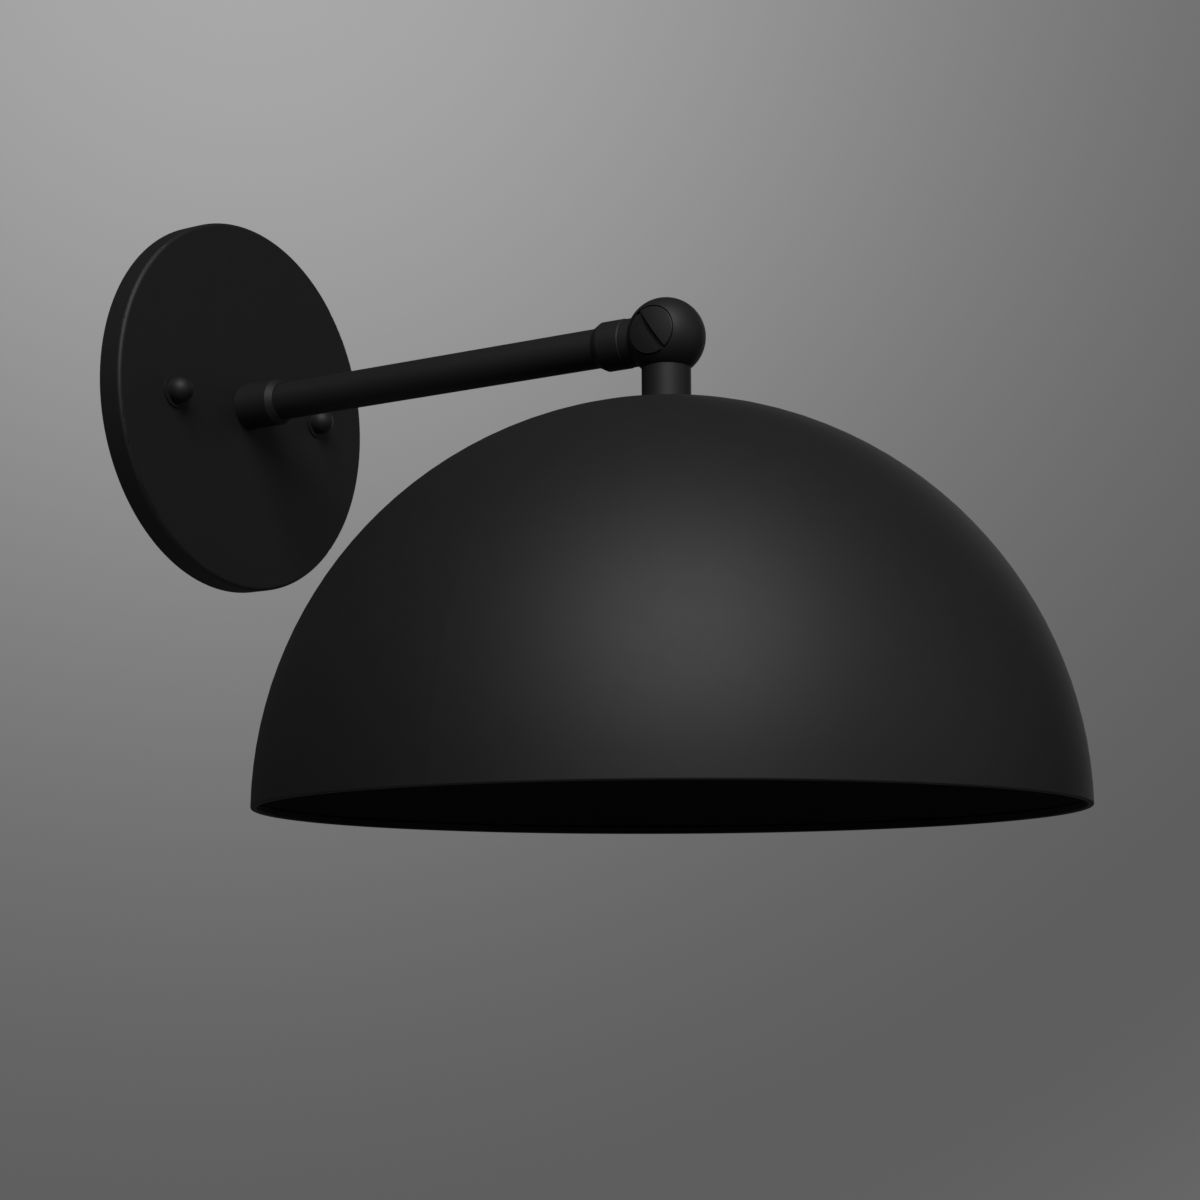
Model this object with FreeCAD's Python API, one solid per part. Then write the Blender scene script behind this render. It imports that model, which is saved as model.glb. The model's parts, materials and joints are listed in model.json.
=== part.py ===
import FreeCAD, Part
import math
import os

# Wall sconce with a spun dome shade on a ball swivel.
# Millimetres. The wall is the plane Y = 0, the sconce stands out along -Y, and +Z is up.
# The origin is the centre of the canopy's back.

# ---- driving dimensions ----

# canopy, a shallow cup against the wall
canopy_d = 130.0
canopy_depth = 8.7
canopy_wall = 1.2
canopy_edge_r = 1.3

# swivelling crossbar behind the canopy
bar_thickness = 1.6
box_bar_end = 3.9
box_bar_width = 19.0
box_screw_spacing = 79.4
box_slot_length = 14.4
box_slot_width = 4.8
stud_bar_end = 9.9
stud_bar_width = 16.0
stud_spacing = 76.2
stud_bar_tilt = 3.7
eyelet_bore_r = 6.2
eyelet_wall = 1.0
eyelet_flange_r = 9.0
eyelet_flange_t = 0.7

# canopy studs and their nuts
stud_r = 2.08
stud_back_gap = 0.6
stud_grip = 4.1
stud_nut_flats = 8.7
stud_nut_t = 2.6
cap_nut_r = 4.4
cap_nut_flange_r = 5.8
cap_nut_flange_t = 0.6
cap_nut_body = 1.6
cap_nut_bore_past = 0.3

# ground screw on the box bar
ground_screw_height = 21.0
ground_screw_r = 2.4
ground_screw_head_r = 4.4
ground_screw_head_t = 2.4
ground_screw_dome = 1.2
ground_screw_slot = 1.0
ground_screw_slot_depth = 1.0

# threaded wireway nipples, what locks them, and the gaps of every fit
nipple_r = 5.1
nipple_bore_r = 3.4
thread_gap = 0.05
hole_gap = 0.2
cut_past = 1.0
nut_corner_share = 0.6
lock_nut_flats = 14.3
canopy_nut_t = 2.2
canopy_washer_r = 8.4
canopy_washer_t = 0.7
canopy_nipple_back = 1.8
canopy_nipple_grip = 6.5

# arm: a turned collar at each end of a straight tube
collar_r = 7.95
collar_nose_r = 6.7
collar_chamfer = 2.4
collar_edge = 0.35
collar_web = 1.6
collar_wire_r = 3.6
canopy_collar_length = 15.8
canopy_collar_thread = 7.2
swivel_collar_length = 10.4
swivel_collar_thread = 4.8
tube_r = 6.35
tube_wall = 1.0
tube_length = 140.1
socket_gap = 0.05

# ball swivel; the shade tilts about the X axis through the ball's centre
ball_r = 12.5
stub_r = 7.75
stub_edge = 0.25
stub_reach = 13.4
split_x = 3.3
swivel_gap = 0.25
spigot_length = 4.4
spigot_bore_r = 3.0
chamber_r = 8.6
chamber_floor = 4.0
screw_seat = 6.5
friction_washer_t = 0.4
friction_washer_r = 11.2
face_play = 0.05
wire_port_x = 6.2
wire_port_half_width = 2.35
wire_port_start = 4.2
neck_reach = 22.8
neck_thread_top = 13.6

# flush, domed, slotted swivel screw
screw_head_r = 7.6
screw_head_gap = 0.35
screw_head_edge = 0.25
screw_head_dome = 0.9
screw_slot_width = 1.6
screw_slot_depth = 1.9
screw_slot_angle = 55.5
screw_shank_r = 3.0
screw_running_gap = 0.08
screw_tip_x = 9.0
screw_hole_past = 0.4
spring_washer_t = 0.4
spring_washer_cone = 0.35
spring_washer_r = 6.6

# stop pin and the groove that it runs in
stop_pin_r = 1.0
stop_pin_circle_r = 6.9
stop_pin_angle = 60.0
stop_pin_sunk = 2.0
stop_pin_tip_x = 5.2
stop_groove_gap = 0.1
stop_groove_floor = 0.2
tilt_in = 10.0
tilt_out = 90.0
stop_margin = 1.5

# spun shade
shade_r = 125.4
shade_wall = 1.2
shade_seat_r = 10.0
shade_lip_t = 1.8
shade_lip_h = 2.4
shade_lip_round = 0.45
shade_nipple_top = 19.2
shade_nipple_past_hub = 0.6
shade_washer_r = 9.2
shade_washer_t = 1.2
shade_nut_t = 3.2

# lamp socket, medium screw base
hub_r = 7.6
hub_length = 7.2
hub_gap = 0.6
rivet_neck_r = 6.6
rivet_r = 7.4
rivet_t = 0.6
cap_r = 17.5
cap_wall = 0.8
cap_dome_h = 10.0
cap_skirt_h = 6.5
set_screw_r = 1.5
set_screw_head = 1.4
set_screw_slot = 0.6
set_screw_slot_depth = 1.2
shell_wall = 0.6
shell_length = 37.0
shell_in_cap = 5.0
shell_bead = 0.9
liner_wall = 0.5
liner_end_gap = 1.2
socket_fit = 0.1
body_height = 11.5
body_flat = 11.0
body_top_gap = 0.6
lamp_thread_r = 13.2
lamp_shell_wall = 0.4
lamp_shell_length = 24.0
contact_r = 4.0
contact_t = 0.8
contact_rise = 1.6
contact_tip_r = 2.0
contact_recess_gap = 0.3
terminal_drop = 5.6
terminal_shank_r = 1.8
terminal_shank_length = 4.0
terminal_head_r = 3.1
terminal_head_t = 1.6
terminal_slot = 0.8
terminal_slot_depth = 0.8
terminal_ledge = 1.0

# insulated leads
lead_r = 1.0
lead_pair_gap = 0.1
lead_bore_gap = 0.3
lead_bend_r = 2.4
lead_back_gap = 1.2
lead_end_from_axis = 5.2
lead_port_x = 4.95
lead_start_x = -1.5
lead_start_drop = 6.0
lead_cap_drop = 2.5

# ---- places that follow from them ----

WALL = FreeCAD.Vector(0, 0, 0)
OUT = FreeCAD.Vector(0, -1, 0)
DOWN = FreeCAD.Vector(0, 0, -1)
LEFT = FreeCAD.Vector(-1, 0, 0)
RIGHT = FreeCAD.Vector(1, 0, 0)
FORTH = FreeCAD.Vector(0, 1, 0)

canopy_r = canopy_d / 2
canopy_inside = canopy_depth - canopy_wall
box_bar_length = box_screw_spacing + box_slot_length + 2 * box_bar_end
stud_bar_length = stud_spacing + 2 * stud_bar_end
bars_front = 2 * bar_thickness
canopy_collar_front = canopy_depth + canopy_collar_length
tube_start = canopy_depth + canopy_collar_thread + collar_web
tube_end = tube_start + tube_length
swivel_collar_back = tube_end - (swivel_collar_length - swivel_collar_thread - collar_web)
stub_end = swivel_collar_back + swivel_collar_length
pivot_out = stub_end + stub_reach
PIVOT = FreeCAD.Vector(0, -pivot_out, 0)
shade_face_x = split_x + friction_washer_t + face_play

shade_centre_drop = neck_reach + math.sqrt(shade_r ** 2 - shade_seat_r ** 2)
seat_inside = shade_centre_drop - math.sqrt((shade_r - shade_wall) ** 2 - shade_seat_r ** 2)
washer_bottom = seat_inside + shade_washer_t
nut_bottom = washer_bottom + shade_nut_t
hub_top = nut_bottom + hub_gap
hub_bottom = hub_top + hub_length
cap_crown = hub_bottom - cap_wall
skirt_top = hub_bottom + cap_dome_h
cap_bottom = skirt_top + cap_skirt_h
shell_r = cap_r - cap_wall - socket_fit
shell_top = cap_bottom - shell_in_cap
shell_bottom = shell_top + shell_length
liner_r = shell_r - shell_wall - socket_fit
body_r = liner_r - liner_wall - socket_fit
body_top = skirt_top + body_top_gap
body_bottom = body_top + body_height
contact_seat = body_bottom - contact_t - contact_rise
terminal_depth = body_top + terminal_drop

lead_side = lead_r + lead_pair_gap / 2
lead_low = math.sqrt((spigot_bore_r - lead_r - lead_bore_gap) ** 2 - lead_side ** 2)


# ---- shapes ----

def vec(x, y, z):
    return FreeCAD.Vector(x, y, z)


def place(shape, base, axis):
    """Turn a shape built along +Z so that it runs along axis from base."""
    turned_shape = shape.copy()
    turn = FreeCAD.Rotation(vec(0, 0, 1), axis)
    turned_shape.Placement = FreeCAD.Placement(base, turn).multiply(turned_shape.Placement)
    return turned_shape


def turned(outline, base, axis):
    """Solid of revolution. The outline's points are (along, radius); an arc is (through, end)."""
    points = [item if not isinstance(item[0], tuple) else item[1] for item in outline]
    edges = []
    for index, item in enumerate(outline):
        start = points[index - 1]
        if isinstance(item[0], tuple):
            through, end = item
            edges.append(Part.Arc(flat(start), flat(through), flat(end)).toShape())
        elif start != item:
            edges.append(Part.LineSegment(flat(start), flat(item)).toShape())
    face = Part.Face(Part.Wire(edges))
    return place(face.revolve(vec(0, 0, 0), vec(0, 0, 1), 360), base, axis)


def flat(point):
    along, radius = point
    return vec(radius, 0, along)


def arc(centre, radius, start, end):
    """Arc for an outline, by its centre and its angles from the radius axis to the long axis."""
    def at(degrees):
        angle = math.radians(degrees)
        return (centre[0] + radius * math.sin(angle), centre[1] + radius * math.cos(angle))
    return (at((start + end) / 2), at(end))


def dome_arc(top, radius, height):
    """Arc for an outline, over a shallow dome to its top on the axis."""
    sphere_r = (radius ** 2 + height ** 2) / (2 * height)
    halfway = top - sphere_r + math.sqrt(sphere_r ** 2 - (radius / 2) ** 2)
    return ((halfway, radius / 2), (top, 0))


def rod(radius, base, axis, start, end):
    """Cylinder along axis, from start to end counted from base."""
    return Part.makeCylinder(radius, end - start, base + axis * start, axis)


def pipe(radius, bore, base, axis, start, end):
    return rod(radius, base, axis, start, end).cut(rod(bore, base, axis, start - cut_past, end + cut_past))


def block(low, high):
    size = high - low
    return Part.makeBox(size.x, size.y, size.z, low)


def stadium(length, width, start, end, across=0.0):
    """Round-ended slab that lies against the wall, from start to end along OUT."""
    half = (length - width) / 2
    slab = block(vec(-half, -end, -width / 2), vec(half, -start, width / 2))
    for side in (-half, half):
        slab = slab.fuse(rod(width / 2, vec(side, 0, 0), OUT, start, end))
    slab = slab.removeSplitter()
    slab.rotate(WALL, vec(0, 1, 0), across)
    return slab


def hex_nut(flats, bore, base, axis, start, end):
    """Hexagonal nut whose corners are turned off at both faces."""
    corner_r = flats / math.sqrt(3)
    corners = [vec(corner_r * math.cos(math.radians(60 * k)),
                   corner_r * math.sin(math.radians(60 * k)), 0) for k in range(7)]
    prism = Part.Face(Part.makePolygon(corners)).extrude(vec(0, 0, end - start))
    prism = place(prism, base + axis * start, axis)
    turned_off = (corner_r - flats / 2) * nut_corner_share
    barrel = turned([(start, 0), (start, corner_r - turned_off),
                     (start + turned_off, corner_r), (end - turned_off, corner_r),
                     (end, corner_r - turned_off), (end, 0)], base, axis)
    return prism.common(barrel).cut(rod(bore, base, axis, start - cut_past, end + cut_past))


def bent_rod(radius, points, bend_r):
    """Round rod along straight runs joined by tangent arcs."""
    edges = []
    start = points[0]
    for before, corner, after in zip(points, points[1:], points[2:]):
        to_corner = (corner - before).normalize()
        from_corner = (after - corner).normalize()
        half_turn = to_corner.getAngle(from_corner) / 2
        setback = bend_r * math.tan(half_turn)
        bend_in = corner - to_corner * setback
        bend_out = corner + from_corner * setback
        inward = (from_corner - to_corner).normalize()
        middle = corner + inward * (bend_r / math.cos(half_turn) - bend_r)
        edges.append(Part.LineSegment(start, bend_in).toShape())
        edges.append(Part.Arc(bend_in, middle, bend_out).toShape())
        start = bend_out
    edges.append(Part.LineSegment(start, points[-1]).toShape())
    along = (points[1] - points[0]).normalize()
    section = Part.Wire(Part.makeCircle(radius, points[0], along))
    return Part.Wire(edges).makePipeShell([section], True, False)


def around_pivot(degrees, radius, x=0.0):
    """Point beside the tilt axis: degrees run from the arm's side up over the ball."""
    angle = math.radians(degrees)
    return PIVOT + vec(x, radius * math.cos(angle), radius * math.sin(angle))


def save(name, *solids):
    shape = solids[0] if len(solids) == 1 else Part.makeCompound(list(solids))
    shape.exportStep("parts/" + name + ".step")
    print("%-24s solids %d  volume %.1f  valid %s"
          % (name, len(shape.Solids), shape.Volume, shape.isValid()))


# ---- canopy and crossbar ----

def stud_places():
    """Feet of the two studs, on the tilted stud bar."""
    angle = math.radians(stud_bar_tilt)
    reach = vec(math.cos(angle), 0, math.sin(angle)) * (stud_spacing / 2)
    return [reach * -1, reach]


def canopy():
    centre = (canopy_depth - canopy_edge_r, canopy_r - canopy_edge_r)
    hole_r = nipple_r + hole_gap
    cup = turned([(0, canopy_r - canopy_wall), (0, canopy_r), (centre[0], canopy_r),
                  arc(centre, canopy_edge_r, 0, 90), (canopy_depth, hole_r),
                  (canopy_inside, hole_r), (canopy_inside, canopy_r - canopy_wall)], WALL, OUT)
    for foot in stud_places():
        cup = cup.cut(rod(stud_r + hole_gap, foot, OUT,
                          canopy_inside - cut_past, canopy_depth + cut_past))
    return cup


def box_bar():
    bar = stadium(box_bar_length, box_bar_width, 0, bar_thickness, 90)
    barrel_r = eyelet_bore_r + eyelet_wall + thread_gap
    front = bar_thickness + cut_past
    bar = bar.cut(rod(barrel_r, WALL, OUT, -cut_past, front))
    bar = bar.cut(rod(eyelet_flange_r + thread_gap, WALL, OUT, -cut_past, eyelet_flange_t))
    slot = stadium(box_slot_length, box_slot_width, -cut_past, front, 90)
    for side in (-1, 1):
        moved = slot.copy()
        moved.translate(vec(0, 0, side * box_screw_spacing / 2))
        bar = bar.cut(moved)
    ground = vec(0, 0, ground_screw_height)
    return bar.cut(rod(ground_screw_r + thread_gap, ground, OUT, -cut_past, front))


def stud_bar():
    bar = stadium(stud_bar_length, stud_bar_width, bar_thickness, bars_front, -stud_bar_tilt)
    barrel_r = eyelet_bore_r + eyelet_wall + thread_gap
    front = bars_front + cut_past
    bar = bar.cut(rod(barrel_r, WALL, OUT, 0, front))
    for foot in stud_places():
        bar = bar.cut(rod(stud_r + thread_gap, foot, OUT, 0, front))
    return bar


def bar_eyelet():
    barrel_r = eyelet_bore_r + eyelet_wall
    front = bars_front + eyelet_flange_t
    return turned([(0, eyelet_bore_r), (0, eyelet_flange_r), (eyelet_flange_t, eyelet_flange_r),
                   (eyelet_flange_t, barrel_r), (bars_front, barrel_r),
                   (bars_front, eyelet_flange_r), (front, eyelet_flange_r),
                   (front, eyelet_bore_r)], WALL, OUT)


def canopy_studs():
    return [rod(stud_r, foot, OUT, stud_back_gap, canopy_depth + stud_grip)
            for foot in stud_places()]


def stud_lock_nuts():
    return [hex_nut(stud_nut_flats, stud_r + thread_gap, foot, OUT,
                    bars_front, bars_front + stud_nut_t) for foot in stud_places()]


def cap_nuts():
    flange = canopy_depth + cap_nut_flange_t
    dome = flange + cap_nut_body
    bore_end = canopy_depth + stud_grip + cap_nut_bore_past
    bore_r = stud_r + thread_gap
    return [turned([(canopy_depth, bore_r), (canopy_depth, cap_nut_flange_r),
                    (flange, cap_nut_flange_r), (flange, cap_nut_r), (dome, cap_nut_r),
                    arc((dome, 0), cap_nut_r, 0, 90), (bore_end, 0), (bore_end, bore_r)],
                   foot, OUT) for foot in stud_places()]


def ground_screw():
    foot = vec(0, 0, ground_screw_height)
    top = bar_thickness + ground_screw_head_t
    screw = rod(ground_screw_r, foot, OUT, thread_gap, bar_thickness)
    head = turned([(bar_thickness, 0), (bar_thickness, ground_screw_head_r),
                   (top - ground_screw_dome, ground_screw_head_r),
                   dome_arc(top, ground_screw_head_r, ground_screw_dome)], foot, OUT)
    half = ground_screw_slot / 2
    reach = ground_screw_head_r + cut_past
    slot = block(vec(-reach, -top - cut_past, -half),
                 vec(reach, -top + ground_screw_slot_depth, half))
    slot.translate(foot)
    return screw.fuse(head).cut(slot)


def canopy_nipple():
    return pipe(nipple_r, nipple_bore_r, WALL, OUT, canopy_nipple_back,
                canopy_depth + canopy_nipple_grip)


def canopy_lock_washer():
    return pipe(canopy_washer_r, nipple_r + hole_gap, WALL, OUT,
                canopy_inside - canopy_washer_t, canopy_inside)


def canopy_lock_nut():
    front = canopy_inside - canopy_washer_t
    return hex_nut(lock_nut_flats, nipple_r + thread_gap, WALL, OUT, front - canopy_nut_t, front)


# ---- arm ----

def canopy_collar():
    thread_r = nipple_r + thread_gap
    web = canopy_depth + canopy_collar_thread
    return turned([(canopy_depth, thread_r), (canopy_depth, collar_r),
                   (canopy_collar_front - collar_chamfer, collar_r),
                   (canopy_collar_front, collar_nose_r),
                   (canopy_collar_front, tube_r + socket_gap), (tube_start, tube_r + socket_gap),
                   (tube_start, collar_wire_r), (web, collar_wire_r), (web, thread_r)], WALL, OUT)


def arm_tube():
    return pipe(tube_r, tube_r - tube_wall, WALL, OUT, tube_start, tube_end)


def swivel_collar():
    thread_r = nipple_r + thread_gap
    web = tube_end + collar_web
    return turned([(swivel_collar_back, tube_r + socket_gap), (swivel_collar_back, collar_nose_r),
                   (swivel_collar_back + collar_chamfer, collar_r),
                   (stub_end - collar_edge, collar_r), (stub_end, collar_r - collar_edge),
                   (stub_end, thread_r), (web, thread_r), (web, collar_wire_r),
                   (tube_end, collar_wire_r), (tube_end, tube_r + socket_gap)], WALL, OUT)


# ---- ball swivel ----

def beyond(x, side):
    """Half space to the +X side of x, or to its -X side, round the ball."""
    far = 3 * ball_r
    corner = PIVOT + vec(x if side > 0 else x - far, -far, -far)
    return block(corner, corner + vec(far, 2 * far, 2 * far))


def ball_half(x, side, stub):
    """One side of the ball with its stub, which is hollowed to clear the other side."""
    half = beyond(x, side)
    own = Part.makeSphere(ball_r, PIVOT).fuse(stub).common(half)
    return own.fuse(stub.cut(Part.makeSphere(ball_r + swivel_gap, PIVOT))).removeSplitter()


def stub_solid(axis, reach):
    """Round stub from the ball's centre, its end edge eased."""
    return turned([(0, 0), (0, stub_r), (reach - stub_edge, stub_r),
                   (reach, stub_r - stub_edge), (reach, 0)], PIVOT, axis)


def swivel_arm_half():
    half = ball_half(split_x, -1, stub_solid(FORTH, stub_reach))
    half = half.fuse(rod(nipple_r, PIVOT, FORTH, stub_reach, stub_reach + spigot_length))
    half = half.cut(rod(spigot_bore_r, PIVOT, FORTH, 0, stub_reach + spigot_length + cut_past))
    half = half.cut(rod(chamber_r, PIVOT, RIGHT, -chamber_floor, split_x + cut_past))
    half = half.cut(rod(screw_shank_r + screw_running_gap, PIVOT, LEFT, 0, ball_r))
    half = half.cut(rod(screw_head_r + screw_head_gap, PIVOT, LEFT, screw_seat, 2 * ball_r))
    pin = around_pivot(stop_pin_angle, stop_pin_circle_r)
    return half.cut(rod(stop_pin_r + thread_gap, pin, LEFT, 0, chamber_floor + stop_pin_sunk))


def swivel_shade_half():
    half = ball_half(shade_face_x, 1, stub_solid(DOWN, neck_reach))
    half = half.cut(rod(screw_shank_r + thread_gap, PIVOT, RIGHT, 0, screw_tip_x + screw_hole_past))
    half = half.cut(rod(nipple_r + thread_gap, PIVOT, DOWN,
                        neck_thread_top, neck_reach + cut_past))
    port_low = PIVOT + vec(split_x, -wire_port_half_width, -shade_nipple_top)
    port_high = PIVOT + vec(wire_port_x, wire_port_half_width, -wire_port_start)
    return half.cut(block(port_low, port_high)).cut(stop_groove())


def stop_groove():
    """Arc that the stop pin sweeps in the shade's half of the ball."""
    inner = stop_pin_circle_r - stop_pin_r - stop_groove_gap
    outer = stop_pin_circle_r + stop_pin_r + stop_groove_gap
    first = stop_pin_angle - tilt_in - stop_margin
    last = stop_pin_angle + tilt_out + stop_margin
    start_x = split_x
    end_x = stop_pin_tip_x + stop_groove_floor
    corners = [around_pivot(first, radius, x) for radius, x in
               ((inner, start_x), (outer, start_x), (outer, end_x), (inner, end_x), (inner, start_x))]
    face = Part.Face(Part.makePolygon(corners))
    groove = face.revolve(PIVOT, RIGHT, last - first)
    for angle in (first, last):
        end = around_pivot(angle, stop_pin_circle_r)
        groove = groove.fuse(rod((outer - inner) / 2, end, RIGHT, start_x, end_x))
    return groove.removeSplitter()


def swivel_screw():
    under = screw_seat + spring_washer_t + spring_washer_cone
    rim = math.sqrt(ball_r ** 2 - screw_head_r ** 2)
    top = rim + screw_head_dome
    eased_r = screw_head_r - screw_head_edge
    head = turned([(under, 0), (under, screw_head_r), (rim - screw_head_edge, screw_head_r),
                   (rim, eased_r), dome_arc(top, eased_r, screw_head_dome)], PIVOT, LEFT)
    screw = head.fuse(rod(screw_shank_r, PIVOT, LEFT, -screw_tip_x, (under + rim) / 2))
    half = screw_slot_width / 2
    slot = block(PIVOT + vec(-top - cut_past, -ball_r, -half),
                 PIVOT + vec(-top + screw_slot_depth, ball_r, half))
    slot.rotate(PIVOT, vec(1, 0, 0), screw_slot_angle)
    return screw.cut(slot).removeSplitter()


def spring_washer():
    inner = screw_shank_r + hole_gap
    back = screw_seat
    lift = spring_washer_cone
    return turned([(back + lift, inner), (back, spring_washer_r),
                   (back + spring_washer_t, spring_washer_r),
                   (back + spring_washer_t + lift, inner)], PIVOT, LEFT)


def friction_washer():
    return pipe(friction_washer_r, chamber_r + hole_gap, PIVOT, RIGHT,
                split_x, split_x + friction_washer_t)


def stop_pin():
    pin = around_pivot(stop_pin_angle, stop_pin_circle_r)
    return rod(stop_pin_r, pin, RIGHT, -chamber_floor - stop_pin_sunk, stop_pin_tip_x)


# ---- shade ----

def shade():
    rim = shade_centre_drop
    inner_r = shade_r - shade_wall
    hole_r = nipple_r + hole_gap
    lip_r = shade_r - shade_lip_t
    lip_top = rim - shade_lip_h
    ease = shade_lip_round
    outer_seat = -math.degrees(math.acos(shade_seat_r / shade_r))
    inner_seat = -math.degrees(math.acos(shade_seat_r / inner_r))
    inner_lip = -math.degrees(math.asin(shade_lip_h / inner_r))
    return turned([(seat_inside, hole_r), (neck_reach, hole_r), (neck_reach, shade_seat_r),
                   arc((rim, 0), shade_r, outer_seat, 0),
                   arc((rim, shade_r - ease), ease, 0, 90),
                   (rim + ease, lip_r + ease),
                   arc((rim, lip_r + ease), ease, 90, 180),
                   (lip_top + shade_lip_t - shade_wall, lip_r),
                   (lip_top, math.sqrt(inner_r ** 2 - shade_lip_h ** 2)),
                   arc((rim, 0), inner_r, inner_lip, inner_seat)], PIVOT, DOWN)


def shade_nipple():
    bottom = hub_bottom + shade_nipple_past_hub
    return pipe(nipple_r, nipple_bore_r, PIVOT, DOWN, shade_nipple_top, bottom)


def shade_washer():
    return pipe(shade_washer_r, nipple_r + hole_gap, PIVOT, DOWN, seat_inside, washer_bottom)


def shade_lock_nut():
    return hex_nut(lock_nut_flats, nipple_r + thread_gap, PIVOT, DOWN, washer_bottom, nut_bottom)


# ---- lamp socket ----

def socket_bushing():
    """Threaded hub, riveted into the crown of the cap."""
    thread_r = nipple_r + thread_gap
    rivet_end = hub_bottom + rivet_t
    hub = turned([(hub_top, thread_r), (hub_top, hub_r), (cap_crown, hub_r),
                  (cap_crown, rivet_neck_r), (hub_bottom, rivet_neck_r), (hub_bottom, rivet_r),
                  (rivet_end, rivet_r), (rivet_end, thread_r)], PIVOT, DOWN)
    return hub.cut(rod(set_screw_r + thread_gap, set_screw_place(), RIGHT, 0, cap_r))


def cap_bend(skirt_r, rise):
    """Bend from the skirt up to the hub's edge: its centre, its radius and its end angle."""
    spread = skirt_r - hub_r
    bend_r = (rise ** 2 + spread ** 2) / (2 * spread)
    lean = -math.degrees(math.atan2(rise, bend_r - spread))
    return (skirt_top, skirt_r - bend_r), bend_r, lean


def socket_cap():
    """Drawn cup with a flat crown."""
    hole_r = rivet_neck_r + thread_gap
    inner_r = cap_r - cap_wall
    centre, bend_r, lean = cap_bend(cap_r, cap_dome_h + cap_wall)
    inner_centre, inner_bend_r, inner_lean = cap_bend(inner_r, cap_dome_h)
    return turned([(cap_crown, hole_r), (cap_crown, hub_r), arc(centre, bend_r, lean, 0),
                   (cap_bottom, cap_r), (cap_bottom, inner_r), (skirt_top, inner_r),
                   arc(inner_centre, inner_bend_r, 0, inner_lean), (hub_bottom, hole_r)], PIVOT, DOWN)


def set_screw_place():
    return PIVOT + DOWN * ((hub_top + cap_crown) / 2)


def socket_set_screw():
    start = nipple_r + thread_gap
    end = hub_r + set_screw_head
    screw = rod(set_screw_r, set_screw_place(), RIGHT, start, end)
    half = set_screw_slot / 2
    slot = block(set_screw_place() + vec(end - set_screw_slot_depth, -hub_r, -half),
                 set_screw_place() + vec(end + cut_past, hub_r, half))
    return screw.cut(slot)


def socket_shell():
    inner = shell_r - shell_wall
    bead = shell_bottom - shell_bead
    return turned([(shell_top, inner), (shell_top, shell_r), (bead - shell_bead, shell_r),
                   arc((bead, shell_r), shell_bead, -90, 90),
                   (shell_bottom, inner)], PIVOT, DOWN)


def socket_liner():
    return pipe(liner_r, liner_r - liner_wall, PIVOT, DOWN,
                shell_top + liner_end_gap / 2, shell_bottom - liner_end_gap)


def socket_body():
    body = rod(body_r, PIVOT, DOWN, body_top, body_bottom)
    body = body.cut(rod(contact_r + contact_recess_gap, PIVOT, DOWN,
                        contact_seat, body_bottom + cut_past))
    flat_bottom = terminal_depth + terminal_head_r + terminal_ledge
    for side in (-1, 1):
        low = PIVOT + vec(-cap_r, min(side * body_flat, side * cap_r), -flat_bottom)
        high = PIVOT + vec(cap_r, max(side * body_flat, side * cap_r), -body_top + cut_past)
        body = body.cut(block(low, high))
        hole = PIVOT + DOWN * terminal_depth
        body = body.cut(rod(terminal_shank_r + thread_gap, hole, vec(0, side, 0),
                            body_flat - terminal_shank_length - thread_gap, cap_r))
    return body


def screw_shell():
    return pipe(lamp_thread_r + lamp_shell_wall, lamp_thread_r, PIVOT, DOWN,
                body_bottom, body_bottom + lamp_shell_length)


def centre_contact():
    rim = contact_seat + contact_t
    return turned([(contact_seat, 0), (contact_seat, contact_r), (rim, contact_r),
                   (body_bottom, contact_tip_r), (body_bottom, 0)], PIVOT, DOWN)


def terminal_screws():
    screws = []
    for side in (-1, 1):
        axis = vec(0, side, 0)
        hole = PIVOT + DOWN * terminal_depth
        end = body_flat + terminal_head_t
        screw = rod(terminal_shank_r, hole, axis, body_flat - terminal_shank_length, body_flat)
        screw = screw.fuse(rod(terminal_head_r, hole, axis, body_flat, end))
        half = terminal_slot / 2
        across = terminal_head_r + cut_past
        reach = sorted((side * (end - terminal_slot_depth), side * (end + cut_past)))
        slot = block(hole + vec(-across, reach[0], -half), hole + vec(across, reach[1], half))
        screws.append(screw.cut(slot))
    return screws


# ---- leads ----

def arm_lead(side):
    """Straight lead through the arm, lying low in the bores."""
    start = vec(side * lead_side, 0, -lead_low)
    return rod(lead_r, start, OUT, lead_back_gap, pivot_out - lead_end_from_axis)


def shade_lead(side):
    """Lead from the ball's chamber, through the neck and the nipple, to a socket terminal."""
    beside = side * lead_side
    tuck = nipple_bore_r - lead_r - lead_bore_gap
    in_nipple = math.sqrt(tuck ** 2 - lead_side ** 2)
    head_top = terminal_depth - terminal_head_r - lead_bore_gap
    terminal_side = side * (body_flat + lead_r + lead_pair_gap)
    cap_turn = hub_bottom + shade_nipple_past_hub + lead_cap_drop
    points = [(lead_start_x, beside, lead_start_drop),
              (lead_port_x, beside, lead_start_drop),
              (lead_port_x, beside, neck_thread_top + lead_r),
              (in_nipple, beside, shade_nipple_top - lead_bore_gap),
              (in_nipple, beside, cap_turn),
              (0, terminal_side, cap_turn + 2 * lead_bend_r),
              (0, terminal_side, head_top)]
    route = [PIVOT + vec(x, y, -drop) for x, y, drop in points]
    return bent_rod(lead_r, route, lead_bend_r)


# ---- the parts ----

os.makedirs("parts", exist_ok=True)

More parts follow.
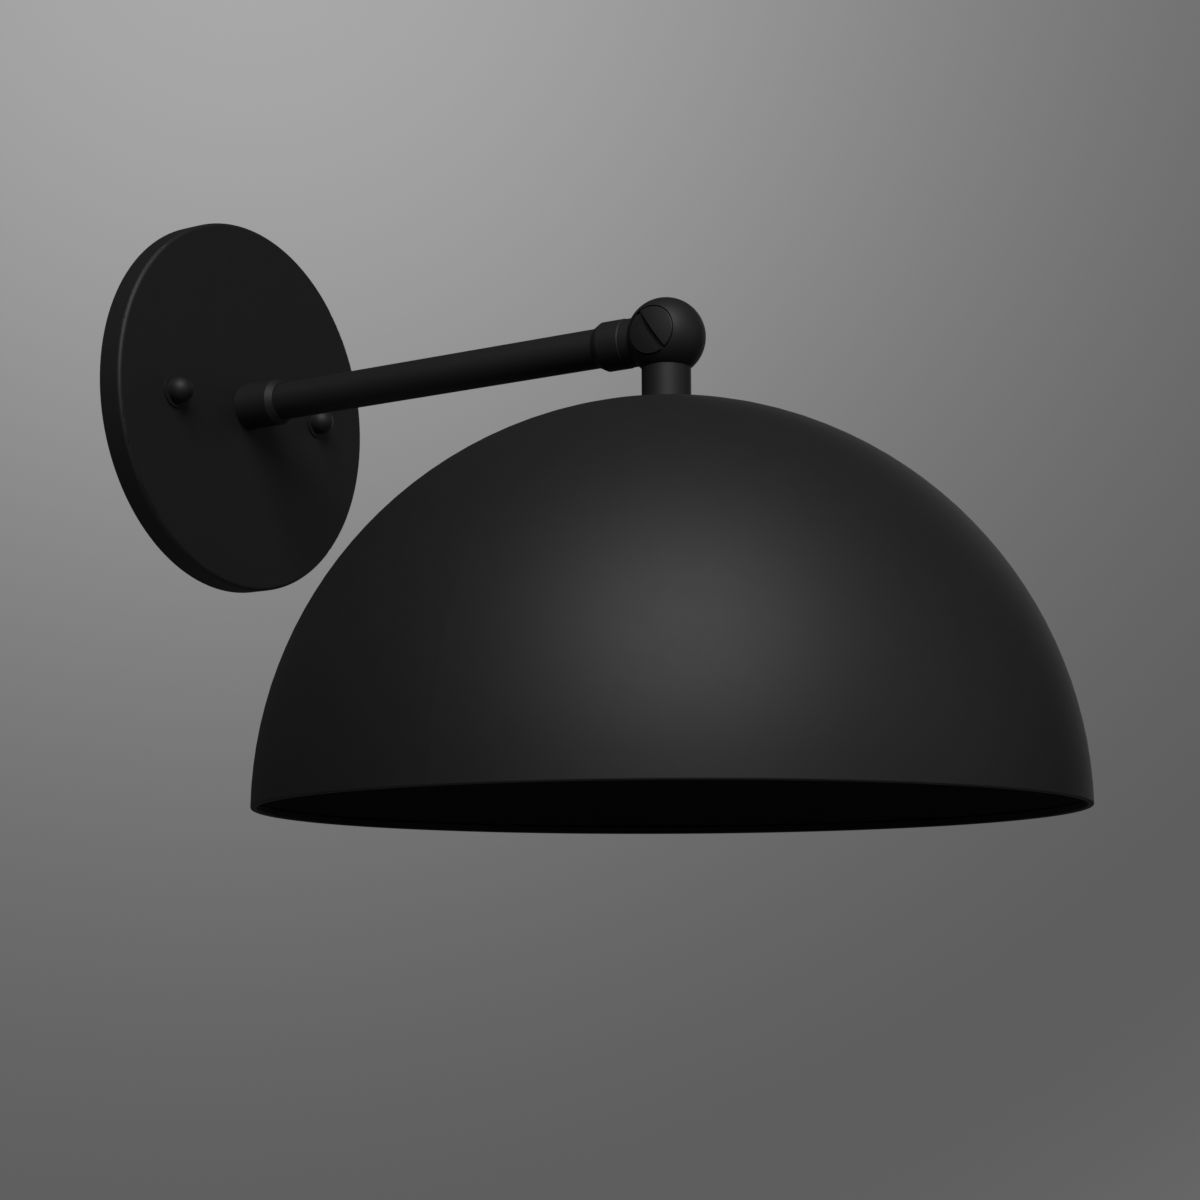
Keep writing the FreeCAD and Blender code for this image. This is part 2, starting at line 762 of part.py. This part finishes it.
save("canopy", canopy())
save("box_bar", box_bar())
save("stud_bar", stud_bar())
save("bar_eyelet", bar_eyelet())
save("canopy_studs", *canopy_studs())
save("stud_lock_nuts", *stud_lock_nuts())
save("cap_nuts", *cap_nuts())
save("ground_screw", ground_screw())
save("canopy_nipple", canopy_nipple())
save("canopy_lock_washer", canopy_lock_washer())
save("canopy_lock_nut", canopy_lock_nut())
save("canopy_collar", canopy_collar())
save("arm_tube", arm_tube())
save("swivel_collar", swivel_collar())
save("swivel_arm_half", swivel_arm_half())
save("friction_washer", friction_washer())
save("stop_pin", stop_pin())
save("arm_lead_black", arm_lead(-1))
save("arm_lead_white", arm_lead(1))

save("swivel_shade_half", swivel_shade_half())
save("swivel_screw", swivel_screw())
save("spring_washer", spring_washer())
save("shade_nipple", shade_nipple())
save("shade", shade())
save("shade_washer", shade_washer())
save("shade_lock_nut", shade_lock_nut())
save("socket_bushing", socket_bushing())
save("socket_cap", socket_cap())
save("socket_set_screw", socket_set_screw())
save("socket_shell", socket_shell())
save("socket_liner", socket_liner())
save("socket_body", socket_body())
save("screw_shell", screw_shell())
save("centre_contact", centre_contact())
save("terminal_screws", *terminal_screws())
save("shade_lead_black", shade_lead(-1))
save("shade_lead_white", shade_lead(1))
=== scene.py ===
import json
import math

import bpy
from mathutils import Matrix, Vector


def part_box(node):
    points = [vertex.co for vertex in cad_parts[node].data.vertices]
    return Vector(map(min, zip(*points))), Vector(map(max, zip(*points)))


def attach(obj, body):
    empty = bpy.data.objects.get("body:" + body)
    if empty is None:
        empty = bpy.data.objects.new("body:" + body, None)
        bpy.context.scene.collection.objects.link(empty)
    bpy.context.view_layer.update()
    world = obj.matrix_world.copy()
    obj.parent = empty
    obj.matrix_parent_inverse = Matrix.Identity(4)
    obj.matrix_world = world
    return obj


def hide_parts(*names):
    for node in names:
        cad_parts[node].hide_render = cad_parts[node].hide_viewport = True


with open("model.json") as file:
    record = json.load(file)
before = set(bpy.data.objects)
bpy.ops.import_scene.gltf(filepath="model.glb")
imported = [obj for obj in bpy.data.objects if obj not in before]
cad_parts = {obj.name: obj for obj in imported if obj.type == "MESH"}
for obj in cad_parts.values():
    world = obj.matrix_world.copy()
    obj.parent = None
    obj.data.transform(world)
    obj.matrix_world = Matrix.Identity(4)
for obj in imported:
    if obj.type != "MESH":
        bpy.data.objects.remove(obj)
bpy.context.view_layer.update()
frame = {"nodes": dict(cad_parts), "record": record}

# Wall sconce: the looks, over the CAD frame. Metres; the wall is the plane y = 0 and +z is up.

mm = 0.001

# ---- camera, fitted to the outlines of the canopy, arm, ball and shade ----

image_width = 1200
focal_pixels = 2196.15
sensor_width = 36.0
camera_place = Vector((-581.07, -503.78, -190.52)) * mm
camera_yaw = -58.878
camera_pitch = -9.145
camera_roll = -0.175


def make_camera():
    """Camera at the photograph's place and angle."""
    yaw, pitch, roll = (math.radians(a) for a in (camera_yaw, camera_pitch, camera_roll))
    right = Vector((math.cos(yaw), math.sin(yaw), 0))
    back = Vector((math.sin(yaw) * math.cos(pitch),
                   -math.cos(yaw) * math.cos(pitch),
                   math.sin(pitch)))
    up = back.cross(right)
    right, up = (right * math.cos(roll) + up * math.sin(roll),
                 up * math.cos(roll) - right * math.sin(roll))
    data = bpy.data.cameras.new("camera")
    data.sensor_width = sensor_width
    data.lens = focal_pixels / image_width * sensor_width
    camera = bpy.data.objects.new("camera", data)
    turn = Matrix((right, up, back)).transposed().to_4x4()
    camera.matrix_world = Matrix.Translation(camera_place) @ turn
    bpy.context.scene.collection.objects.link(camera)
    bpy.context.scene.camera = camera


# ---- materials ----

wave_bands = 20  # a band texture repeats every 2 pi / (20 * scale)
thread_relief = 0.25 * mm
stud_pitch = 0.794 * mm
nipple_pitch = 0.941 * mm


class Shader:
    """A material with one Principled shader, and short ways to add nodes to it."""

    def __init__(self, name, colour, metallic=0.0, roughness=0.5):
        self.material = bpy.data.materials.new(name)
        self.material.use_nodes = True
        self.tree = self.material.node_tree
        self.main = self.tree.nodes["Principled BSDF"]
        self.set("Base Color", (*colour, 1))
        self.set("Metallic", metallic)
        self.set("Roughness", roughness)
        self.coords = self.tree.nodes.new("ShaderNodeTexCoord").outputs["Object"]

    def set(self, socket, value):
        self.main.inputs[socket].default_value = value

    def node(self, kind, links=(), **values):
        made = self.tree.nodes.new("ShaderNode" + kind)
        for key, value in values.items():
            setattr(made, key, value)
        for socket, value in dict(links).items():
            if isinstance(value, bpy.types.NodeSocket):
                self.tree.links.new(value, made.inputs[socket])
            else:
                made.inputs[socket].default_value = value
        return made

    def noise(self, size, detail=2.0, stretch=None):
        """Noise with features of about this size in metres."""
        place = self.coords
        if stretch:
            place = self.node("Mapping", {"Vector": place, "Scale": stretch}).outputs["Vector"]
        links = {"Vector": place, "Scale": 1 / size, "Detail": detail}
        return self.node("TexNoise", links).outputs["Fac"]

    def spread(self, value, low, high, start=0.3, end=0.7):
        """Map a noise value to a range."""
        return self.node("MapRange", {"Value": value, "From Min": start, "From Max": end,
                                      "To Min": low, "To Max": high}).outputs["Result"]

    def shade_between(self, value, dark, light):
        """Let a noise value choose the colour between two."""
        mix = self.node("Mix", {"Factor": value, 6: (*dark, 1), 7: (*light, 1)}, data_type="RGBA")
        self.link(mix.outputs[2], "Base Color")

    def bump(self, value, height, below=None):
        """Relief of this height in metres, on top of another relief if one is given."""
        links = {"Height": value, "Distance": height, "Strength": 1.0}
        if below:
            links["Normal"] = below
        return self.node("Bump", links).outputs["Normal"]

    def link(self, output, socket):
        self.tree.links.new(output, self.main.inputs[socket])


def powder_black():
    """Matte powder coat: near black, with a fine pebbled skin."""
    coat = Shader("matte_powder_black", (0.008, 0.008, 0.0082), 0.0, 0.59)
    mottle = coat.spread(coat.noise(9 * mm, 3), 0.0, 1.0)
    coat.shade_between(mottle, (0.0076, 0.0076, 0.0078), (0.0085, 0.0085, 0.0087))
    coat.link(coat.spread(coat.noise(4 * mm, 3), 0.585, 0.597), "Roughness")
    pebbles = coat.bump(coat.noise(0.7 * mm, 2), 0.004 * mm)
    coat.link(coat.bump(coat.noise(0.25 * mm, 1), 0.002 * mm, pebbles), "Normal")
    coat.set("Specular IOR Level", 0.4)
    return coat.material


def zinc_steel():
    """Bright zinc plate over rolled steel: cloudy patches and fine scratches."""
    zinc = Shader("zinc_plated_steel", (0.60, 0.61, 0.60), 1.0, 0.34)
    clouds = zinc.spread(zinc.noise(5 * mm, 4), 0, 1)
    zinc.shade_between(clouds, (0.50, 0.51, 0.50), (0.68, 0.69, 0.67))
    zinc.link(zinc.spread(zinc.noise(2 * mm, 4), 0.26, 0.46), "Roughness")
    drawn = zinc.noise(0.12 * mm, 3, (1, 1, 0.06))
    zinc.link(zinc.bump(drawn, 0.004 * mm), "Normal")
    return zinc.material


def threaded_zinc(name, direction, pitch):
    """Zinc plate over a rolled thread that runs along one axis."""
    zinc = Shader(name, (0.58, 0.59, 0.58), 1.0, 0.34)
    clouds = zinc.spread(zinc.noise(4 * mm, 3), 0, 1)
    zinc.shade_between(clouds, (0.48, 0.49, 0.48), (0.66, 0.67, 0.65))
    links = {"Vector": zinc.coords, "Scale": 2 * math.pi / (wave_bands * pitch)}
    ridges = zinc.node("TexWave", links, wave_type="BANDS", bands_direction=direction,
                       wave_profile="TRI")
    worn = zinc.bump(zinc.noise(0.15 * mm, 2), 0.003 * mm)
    zinc.link(zinc.bump(ridges.outputs["Fac"], thread_relief, worn), "Normal")
    return zinc.material


def spring_steel():
    """Dark, oiled spring steel."""
    steel = Shader("oiled_spring_steel", (0.25, 0.26, 0.28), 1.0, 0.38)
    steel.link(steel.spread(steel.noise(1.5 * mm, 3), 0.3, 0.46), "Roughness")
    steel.link(steel.bump(steel.noise(0.2 * mm, 2), 0.003 * mm), "Normal")
    return steel.material


def green_steel():
    """Green coat over steel, for the ground screw."""
    green = Shader("green_ground_screw", (0.02, 0.22, 0.06), 0.6, 0.36)
    clouds = green.spread(green.noise(1.2 * mm, 3), 0, 1)
    green.shade_between(clouds, (0.015, 0.17, 0.045), (0.03, 0.29, 0.08))
    green.link(green.bump(green.noise(0.2 * mm, 2), 0.003 * mm), "Normal")
    return green.material


def fibre():
    """Pressed fibre with short, dark strands."""
    board = Shader("pressed_fibre", (0.16, 0.065, 0.03), 0.0, 0.8)
    board.shade_between(board.noise(0.4 * mm, 4), (0.12, 0.05, 0.025), (0.22, 0.09, 0.045))
    board.link(board.bump(board.noise(0.15 * mm, 4), 0.02 * mm), "Normal")
    return board.material


def socket_brass():
    """Drawn brass with a lacquer, brushed round the drawing axis."""
    brass = Shader("drawn_brass", (0.60, 0.42, 0.17), 1.0, 0.3)
    clouds = brass.spread(brass.noise(6 * mm, 3), 0, 1)
    brass.shade_between(clouds, (0.52, 0.35, 0.13), (0.66, 0.48, 0.21))
    brass.link(brass.spread(brass.noise(3 * mm, 3), 0.22, 0.38), "Roughness")
    rings = brass.noise(0.15 * mm, 3, (0.05, 0.05, 1))
    brass.link(brass.bump(rings, 0.003 * mm), "Normal")
    return brass.material


def lamp_brass():
    """Bright rolled brass of the lamp holder."""
    brass = Shader("rolled_brass", (0.72, 0.52, 0.22), 1.0, 0.24)
    clouds = brass.spread(brass.noise(3 * mm, 3), 0, 1)
    brass.shade_between(clouds, (0.62, 0.43, 0.17), (0.78, 0.58, 0.27))
    brass.link(brass.bump(brass.noise(0.3 * mm, 2), 0.003 * mm), "Normal")
    return brass.material


def liner_card():
    """Pale insulating card."""
    card = Shader("insulating_card", (0.42, 0.34, 0.22), 0.0, 0.85)
    card.shade_between(card.noise(0.5 * mm, 5), (0.36, 0.28, 0.17), (0.50, 0.41, 0.28))
    card.link(card.bump(card.noise(0.2 * mm, 4), 0.03 * mm), "Normal")
    return card.material


def phenolic():
    """Dark moulded phenolic."""
    moulded = Shader("moulded_phenolic", (0.03, 0.026, 0.023), 0.0, 0.42)
    moulded.shade_between(moulded.noise(0.3 * mm, 3), (0.022, 0.019, 0.017), (0.045, 0.038, 0.032))
    moulded.link(moulded.bump(moulded.noise(0.6 * mm, 2), 0.004 * mm), "Normal")
    return moulded.material


def lead(name, dark, light):
    """Plastic cover of a lead."""
    cover = Shader(name, dark, 0.0, 0.45)
    cover.shade_between(cover.noise(3 * mm, 2), dark, light)
    cover.link(cover.bump(cover.noise(0.4 * mm, 2), 0.004 * mm), "Normal")
    return cover.material


def dress_frame():
    """Give every CAD node the finish of its material slot."""
    finishes = {
        "powder_black": powder_black(),
        "zinc_steel": zinc_steel(),
        "spring_steel": spring_steel(),
        "green_steel": green_steel(),
        "fibre": fibre(),
        "socket_brass": socket_brass(),
        "lamp_brass": lamp_brass(),
        "liner_card": liner_card(),
        "phenolic": phenolic(),
        "lead_black": lead("black_lead", (0.012, 0.012, 0.012), (0.02, 0.02, 0.02)),
        "lead_white": lead("white_lead", (0.70, 0.70, 0.66), (0.80, 0.80, 0.76)),
    }
    threaded = {
        "canopy_studs": threaded_zinc("stud_thread", "Y", stud_pitch),
        "canopy_nipple": threaded_zinc("canopy_nipple_thread", "Y", nipple_pitch),
        "shade_nipple": threaded_zinc("shade_nipple_thread", "Z", nipple_pitch),
    }
    for subpart in frame["record"]["subparts"]:
        name = subpart["node"]
        for place in frame["nodes"][name].material_slots:
            place.material = threaded.get(name, finishes[subpart["material_slot"]])
    return finishes


# ---- lamp holder's rolled thread ----

lamp_pitch = 3.63 * mm
thread_depth = 0.42 * mm
sheet_thickness = 0.3 * mm
flare = 0.5 * mm
flare_length = 1.5 * mm
around = 96
rows_per_pitch = 12


def shell_radius(middle, height, turn, length):
    """Radius of the rolled shell above its mouth. The thread fades out at both ends."""
    fade = min(1, height / (2 * flare_length), (length - height) / (2 * flare_length))
    opening = flare * max(0, 1 - height / flare_length) ** 2
    wave = math.cos(2 * math.pi * height / lamp_pitch - turn)
    return middle + thread_depth * fade * wave + opening


def make_screw_shell(finish):
    """Thin brass shell with a rolled lamp thread, in place of the plain tube."""
    low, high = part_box("screw_shell")
    centre_x, centre_y = (low[0] + high[0]) / 2, (low[1] + high[1]) / 2
    length = high[2] - low[2]
    middle = (high[0] - low[0]) / 2 - sheet_thickness
    rows = round(length / lamp_pitch * rows_per_pitch)
    points, faces = [], []
    for row in range(rows + 1):
        height = length * row / rows
        for step in range(around):
            turn = 2 * math.pi * step / around
            radius = shell_radius(middle, height, turn, length)
            points.append((centre_x + radius * math.cos(turn),
                           centre_y + radius * math.sin(turn),
                           low[2] + height))
    for row in range(rows):
        for step in range(around):
            beside = (step + 1) % around
            lower, upper = row * around, (row + 1) * around
            faces.append((lower + step, lower + beside, upper + beside, upper + step))
    mesh = bpy.data.meshes.new("rolled_screw_shell")
    mesh.from_pydata(points, [], faces)
    mesh.shade_smooth()
    mesh.materials.append(finish)
    shell = bpy.data.objects.new("rolled_screw_shell", mesh)
    bpy.context.scene.collection.objects.link(shell)
    wall = shell.modifiers.new("wall", "SOLIDIFY")
    wall.thickness = sheet_thickness
    wall.offset = 0
    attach(shell, "shade_head")
    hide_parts("screw_shell")


# ---- stage and light ----

floor_height = -2.4
floor_size = 14
aim = Vector((0.0, -0.15, -0.06))
glow_direction = (0.672, 0.585, 0.453)
glow_level = 0.31
glow_falloff = 16
backdrop_low, backdrop_high = 0.09, 0.5
backdrop_far, backdrop_near = 0.35, 0.85
room_level = 0.04
floor_glow = 0.24


def make_floor():
    """Pale studio floor, well below the sconce, that the camera sees a little paler."""
    half = floor_size / 2
    corners = [(x * half, y * half, floor_height) for x, y in ((-1, -1), (1, -1), (1, 1), (-1, 1))]
    mesh = bpy.data.meshes.new("floor")
    mesh.from_pydata(corners, [], [(0, 1, 2, 3)])
    pale = Shader("pale_floor", (0.55, 0.55, 0.55), 0.0, 0.85)
    pale.shade_between(pale.noise(0.6, 2), (0.54, 0.54, 0.54), (0.56, 0.56, 0.56))
    pale.set("Emission Color", (floor_glow, floor_glow, floor_glow, 1))
    pale.link(pale.node("LightPath").outputs["Is Camera Ray"], "Emission Strength")
    mesh.materials.append(pale.material)
    floor = bpy.data.objects.new("floor", mesh)
    bpy.context.scene.collection.objects.link(floor)


def softbox(name, azimuth, elevation, distance, size, power):
    """Square area lamp that faces the sconce. Azimuth 0 is out from the wall, 90 to its right."""
    turn, rise = math.radians(azimuth), math.radians(elevation)
    away = Vector((math.sin(turn) * math.cos(rise),
                   -math.cos(turn) * math.cos(rise),
                   math.sin(rise)))
    data = bpy.data.lights.new(name, "AREA")
    data.shape = "SQUARE"
    data.size = size
    data.energy = power
    lamp = bpy.data.objects.new(name, data)
    lamp.location = aim + away * distance
    lamp.rotation_mode = "QUATERNION"
    lamp.rotation_quaternion = (-away).to_track_quat("-Z", "Y")
    bpy.context.scene.collection.objects.link(lamp)


def make_world():
    """Dim room light. The camera alone sees a pale backdrop with a soft pool of light on it."""
    world = bpy.data.worlds.new("studio")
    world.use_nodes = True
    bpy.context.scene.world = world
    tree = world.node_tree
    room = tree.nodes["Background"]
    room.inputs["Color"].default_value = (room_level, room_level, room_level, 1)

    def math_node(operation, *values):
        node = tree.nodes.new("ShaderNodeMath")
        node.operation = operation
        for socket, value in zip(node.inputs, values):
            if isinstance(value, (int, float)):
                socket.default_value = value
            else:
                tree.links.new(value, socket)
        return node.outputs[0]

    toward = tree.nodes.new("ShaderNodeVectorMath")
    toward.operation = "DOT_PRODUCT"
    toward.inputs[1].default_value = glow_direction
    tree.links.new(tree.nodes.new("ShaderNodeTexCoord").outputs["Generated"], toward.inputs[0])
    closeness = toward.outputs["Value"]
    fade = math_node("MULTIPLY", math_node("SUBTRACT", closeness, 1.0), glow_falloff)
    glow = math_node("MULTIPLY", math_node("EXPONENT", fade), glow_level)
    surround = tree.nodes.new("ShaderNodeMapRange")
    surround.interpolation_type = "SMOOTHSTEP"
    tree.links.new(closeness, surround.inputs["Value"])
    for socket, value in (("From Min", backdrop_far), ("From Max", backdrop_near),
                          ("To Min", backdrop_high), ("To Max", backdrop_low)):
        surround.inputs[socket].default_value = value
    pale = math_node("ADD", glow, surround.outputs["Result"])

    backdrop = tree.nodes.new("ShaderNodeBackground")
    tree.links.new(pale, backdrop.inputs["Color"])
    choice = tree.nodes.new("ShaderNodeMixShader")
    tree.links.new(tree.nodes.new("ShaderNodeLightPath").outputs["Is Camera Ray"], choice.inputs[0])
    tree.links.new(room.outputs[0], choice.inputs[1])
    tree.links.new(backdrop.outputs[0], choice.inputs[2])
    tree.links.new(choice.outputs[0], tree.nodes["World Output"].inputs["Surface"])


def make_light():
    """Key lamp near the camera, a weak fill in front, and a weak lamp on the right side."""
    make_world()
    softbox("key_softbox", -54, 39, 2.0, 1.3, 36)
    softbox("fill_softbox", 12, 14, 2.4, 1.6, 3.5)
    softbox("side_softbox", 100, 14, 2.2, 1.4, 3)
    bpy.context.scene.view_settings.view_transform = "Standard"


make_camera()
finishes = dress_frame()
make_screw_shell(finishes["lamp_brass"])
make_floor()
make_light()
